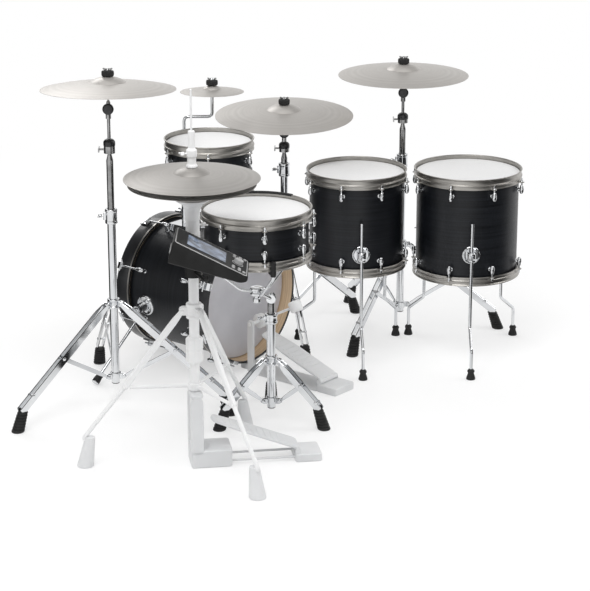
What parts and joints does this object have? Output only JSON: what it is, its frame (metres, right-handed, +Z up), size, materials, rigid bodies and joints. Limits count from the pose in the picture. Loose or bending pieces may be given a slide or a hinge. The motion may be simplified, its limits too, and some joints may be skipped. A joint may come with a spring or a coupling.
{
  "type": "electronic drum kit",
  "caption": "Free-standing electronic drum kit: wood-shell mesh drums, metal cymbal pads on folding chrome stands, hi-hat, pedals and a sound module.",
  "frame": {"origin": "centre of the kit's floor plan, on the floor", "axes": "+Z up, +Y toward the audience along the bass drum's axis, +X the player's right"},
  "size_m": [1.8334, 1.2073, 1.094],
  "materials": {
    "black_oak": "satin stained oak",
    "hoop_black": "satin lacquer outside, bare maple inside",
    "nickel": "satin pewter nickel",
    "mesh": "woven white mesh",
    "chrome": "polished",
    "rubber": "moulded ribbed rubber",
    "cymbal": "lathed satin warm grey",
    "white_metal": "satin white powder coat",
    "black_plastic": "fine texture",
    "grey_plastic": "smooth"
  },
  "bodies": {
    "kit": {"kick_shell": "black_oak", "kick_hoops": "hoop_black", "kick_heads": "mesh", "kick_hardware": "chrome", "tom_holder": "chrome", "floor_tom_legs": "chrome", "rubber_feet": "rubber", "snare_stand_base": "chrome", "left_stand_base": "chrome", "middle_stand_base": "chrome", "ride_stand_base": "chrome", "hihat_stand_frame": "white_metal", "hihat_bottom_cymbal": "cymbal", "kick_pedal_frame": "white_metal", "module_holder": "chrome"},
    "spur_left": {"kick_spur_left": "chrome"},
    "spur_right": {"kick_spur_right": "chrome"},
    "splash_arm": {"splash_arm": "chrome"},
    "splash": {"splash_cymbal": "cymbal"},
    "rack_tom": {"rack_tom_shell": "black_oak", "rack_tom_hoops": "nickel", "rack_tom_heads": "mesh", "rack_tom_hardware": "chrome"},
    "left_floor_tom": {"left_floor_tom_shell": "black_oak", "left_floor_tom_hoops": "nickel", "left_floor_tom_heads": "mesh", "left_floor_tom_hardware": "chrome"},
    "right_floor_tom": {"right_floor_tom_shell": "black_oak", "right_floor_tom_hoops": "nickel", "right_floor_tom_heads": "mesh", "right_floor_tom_hardware": "chrome"},
    "snare_post": {"snare_stand_post": "chrome"},
    "snare": {"snare_basket": "chrome", "snare_shell": "black_oak", "snare_hoops": "nickel", "snare_heads": "mesh", "snare_hardware": "chrome"},
    "left_hub": {"left_stand_hub": "chrome"},
    "left_leg_1": {"left_stand_leg_1": "chrome"},
    "left_brace_1": {"left_stand_brace_1": "chrome"},
    "left_leg_2": {"left_stand_leg_2": "chrome"},
    "left_brace_2": {"left_stand_brace_2": "chrome"},
    "left_leg_3": {"left_stand_leg_3": "chrome"},
    "left_brace_3": {"left_stand_brace_3": "chrome"},
    "left_post": {"left_stand_post": "chrome"},
    "left_tilter": {"left_stand_tilter": "chrome"},
    "left_crash": {"left_crash_cymbal": "cymbal"},
    "middle_post": {"middle_stand_post": "chrome"},
    "middle_tilter": {"middle_stand_tilter": "chrome"},
    "middle_crash": {"middle_crash_cymbal": "cymbal"},
    "ride_post": {"ride_stand_post": "chrome"},
    "ride_tilter": {"ride_stand_tilter": "chrome"},
    "ride": {"ride_cymbal": "cymbal"},
    "hihat_pull": {"hihat_pull_rod": "chrome", "hihat_top_cymbal": "cymbal"},
    "hihat_board": {"hihat_footboard": "white_metal"},
    "kick_board": {"kick_pedal_footboard": "white_metal"},
    "kick_beater": {"kick_pedal_beater": "white_metal"},
    "module": {"module_housing": "black_plastic"},
    "module_knob": {"module_knob": "grey_plastic"}
  },
  "joints": [
    {"name": "spur_left_fold", "type": "hinge", "parent": "kit", "child": "spur_left", "pos_m": [-0.18721, 0.4047, 0.20154], "axis": [-0.989, 0, -0.1478], "range_deg": [0, 50]},
    {"name": "spur_right_fold", "type": "hinge", "parent": "kit", "child": "spur_right", "pos_m": [0.29801, 0.4047, 0.20154], "axis": [-0.989, 0, 0.1478], "range_deg": [0, 30]},
    {"name": "splash_arm_swivel", "type": "hinge", "parent": "kit", "child": "splash_arm", "pos_m": [0.0154, 0.3717, 0.744], "axis": [0, 0, 1], "range_deg": [-40, 40]},
    {"name": "splash_rock", "type": "hinge", "parent": "splash_arm", "child": "splash", "pos_m": [0.07407, 0.30324, 0.90598], "axis": [0.6293, -0.7771, 0], "range_deg": [-2, 2], "stiffness_Nm_per_rad": 2},
    {"name": "rack_tom_tilt", "type": "hinge", "parent": "kit", "child": "rack_tom", "pos_m": [-0.07578, 0.23917, 0.722], "axis": [0.8239, -0.5668, 0], "range_deg": [-5, 10]},
    {"name": "left_floor_tom_height", "type": "slide", "parent": "kit", "child": "left_floor_tom", "axis": [0, 0, 1], "range_m": [-0.04, 0.03]},
    {"name": "right_floor_tom_height", "type": "slide", "parent": "kit", "child": "right_floor_tom", "axis": [0, 0, 1], "range_m": [-0.04, 0.03]},
    {"name": "snare_height", "type": "slide", "parent": "kit", "child": "snare_post", "axis": [0, 0, 1], "range_m": [-0.03, 0.04]},
    {"name": "snare_tilt", "type": "hinge", "parent": "snare_post", "child": "snare", "pos_m": [-0.2656, -0.2193, 0.385], "axis": [0.7771, 0.6293, 0], "range_deg": [-2, 10]},
    {"name": "left_stand_fold", "type": "slide", "parent": "kit", "child": "left_hub", "axis": [0, 0, 1], "range_m": [0, 0.12]},
    {"name": "left_leg_1_swing", "type": "hinge", "parent": "left_hub", "child": "left_leg_1", "pos_m": [-0.48334, 0.25246, 0.323], "axis": [-0.1392, -0.9903, 0], "range_deg": [0, 22.3]},
    {"name": "left_brace_1_swing", "type": "hinge", "parent": "left_leg_1", "child": "left_brace_1", "pos_m": [-0.65564, 0.27667, 0.1915], "axis": [-0.1392, -0.9903, 0], "range_deg": [-47.9, 0]},
    {"name": "left_leg_2_swing", "type": "hinge", "parent": "left_hub", "child": "left_leg_2", "pos_m": [-0.44649, 0.22367, 0.323], "axis": [0.9272, 0.3746, 0], "range_deg": [0, 22.3]},
    {"name": "left_brace_2_swing", "type": "hinge", "parent": "left_leg_2", "child": "left_brace_2", "pos_m": [-0.3813, 0.06234, 0.1915], "axis": [0.9272, 0.3746, 0], "range_deg": [-47.9, 0]},
    {"name": "left_leg_3_swing", "type": "hinge", "parent": "left_hub", "child": "left_leg_3", "pos_m": [-0.43998, 0.26998, 0.323], "axis": [-0.788, 0.6157, 0], "range_deg": [0, 22.3]},
    {"name": "left_brace_3_swing", "type": "hinge", "parent": "left_leg_3", "child": "left_brace_3", "pos_m": [-0.33285, 0.40709, 0.1915], "axis": [-0.788, 0.6157, 0], "range_deg": [-47.9, 0]},
    {"name": "left_stand_height", "type": "slide", "parent": "kit", "child": "left_post", "axis": [0, 0, 1], "range_m": [-0.02, 0.1]},
    {"name": "left_cymbal_tilt", "type": "hinge", "parent": "left_post", "child": "left_tilter", "pos_m": [-0.4566, 0.2487, 0.931], "axis": [0.7755, 0.628, -0.0645], "range_deg": [-25, 25]},
    {"name": "left_crash_rock", "type": "hinge", "parent": "left_tilter", "child": "left_crash", "pos_m": [-0.44944, 0.2545, 1.0247], "axis": [0.6293, -0.7771, 0], "range_deg": [-3, 3], "stiffness_Nm_per_rad": 6},
    {"name": "middle_stand_height", "type": "slide", "parent": "kit", "child": "middle_post", "axis": [0, 0, 1], "range_m": [-0.02, 0.02]},
    {"name": "middle_cymbal_tilt", "type": "hinge", "parent": "middle_post", "child": "middle_tilter", "pos_m": [0.3944, 0.2687, 0.701], "axis": [0.776, 0.6284, 0.0541], "range_deg": [-10, 10]},
    {"name": "middle_crash_rock", "type": "hinge", "parent": "middle_tilter", "child": "middle_crash", "pos_m": [0.39289, 0.26748, 0.79513], "axis": [0.6293, -0.7771, 0], "range_deg": [-3, 3], "stiffness_Nm_per_rad": 6},
    {"name": "ride_stand_height", "type": "slide", "parent": "kit", "child": "ride_post", "axis": [0, 0, 1], "range_m": [0, 0.06]},
    {"name": "ride_cymbal_tilt", "type": "hinge", "parent": "ride_post", "child": "ride_tilter", "pos_m": [0.6854, -0.0043, 0.825], "axis": [0.7771, 0.6293, 0], "range_deg": [-10, 10]},
    {"name": "ride_rock", "type": "hinge", "parent": "ride_tilter", "child": "ride", "pos_m": [0.68785, -0.00232, 0.9191], "axis": [0.6293, -0.7771, 0], "range_deg": [-3, 3], "stiffness_Nm_per_rad": 6},
    {"name": "hihat_close", "type": "slide", "parent": "kit", "child": "hihat_pull", "axis": [0, 0, -1], "range_m": [0, 0.0155], "stiffness_N_per_m": 2500, "springref_m": -0.02},
    {"name": "hihat_board_press", "type": "hinge", "parent": "kit", "child": "hihat_board", "pos_m": [-0.45534, -0.46802, 0.0323], "axis": [-0.6691, -0.7431, 0], "range_deg": [0, 4]},
    {"name": "kick_board_press", "type": "hinge", "parent": "kit", "child": "kick_board", "pos_m": [0.0554, -0.1843, 0.0323], "axis": [-1, 0, 0], "range_deg": [0, 14], "stiffness_Nm_per_rad": 8, "springref_deg": -20.05},
    {"name": "kick_beater_swing", "type": "hinge", "parent": "kit", "child": "kick_beater", "pos_m": [0.0554, 0.0917, 0.168], "axis": [-1, 0, 0], "range_deg": [0, 81.5]},
    {"name": "module_tilt", "type": "hinge", "parent": "kit", "child": "module", "pos_m": [-0.72599, -0.37139, 0.61], "axis": [0.7771, 0.6293, 0], "range_deg": [-20, 20]},
    {"name": "module_knob_turn", "type": "hinge", "parent": "module", "child": "module_knob", "pos_m": [-0.67265, -0.43726, 0.62779], "axis": [0.2853, -0.3524, 0.8913], "continuous": true}
  ],
  "couplings": [
    {"joint": "left_leg_1_swing", "follows": "left_stand_fold", "rad_per_m": 3.174},
    {"joint": "left_brace_1_swing", "follows": "left_stand_fold", "rad_per_m": -6.9013},
    {"joint": "left_leg_2_swing", "follows": "left_stand_fold", "rad_per_m": 3.174},
    {"joint": "left_brace_2_swing", "follows": "left_stand_fold", "rad_per_m": -6.9013},
    {"joint": "left_leg_3_swing", "follows": "left_stand_fold", "rad_per_m": 3.174},
    {"joint": "left_brace_3_swing", "follows": "left_stand_fold", "rad_per_m": -6.9013},
    {"joint": "hihat_board_press", "follows": "hihat_close", "rad_per_m": 4.0816},
    {"joint": "kick_beater_swing", "follows": "kick_board_press", "ratio": 5.8}
  ]
}
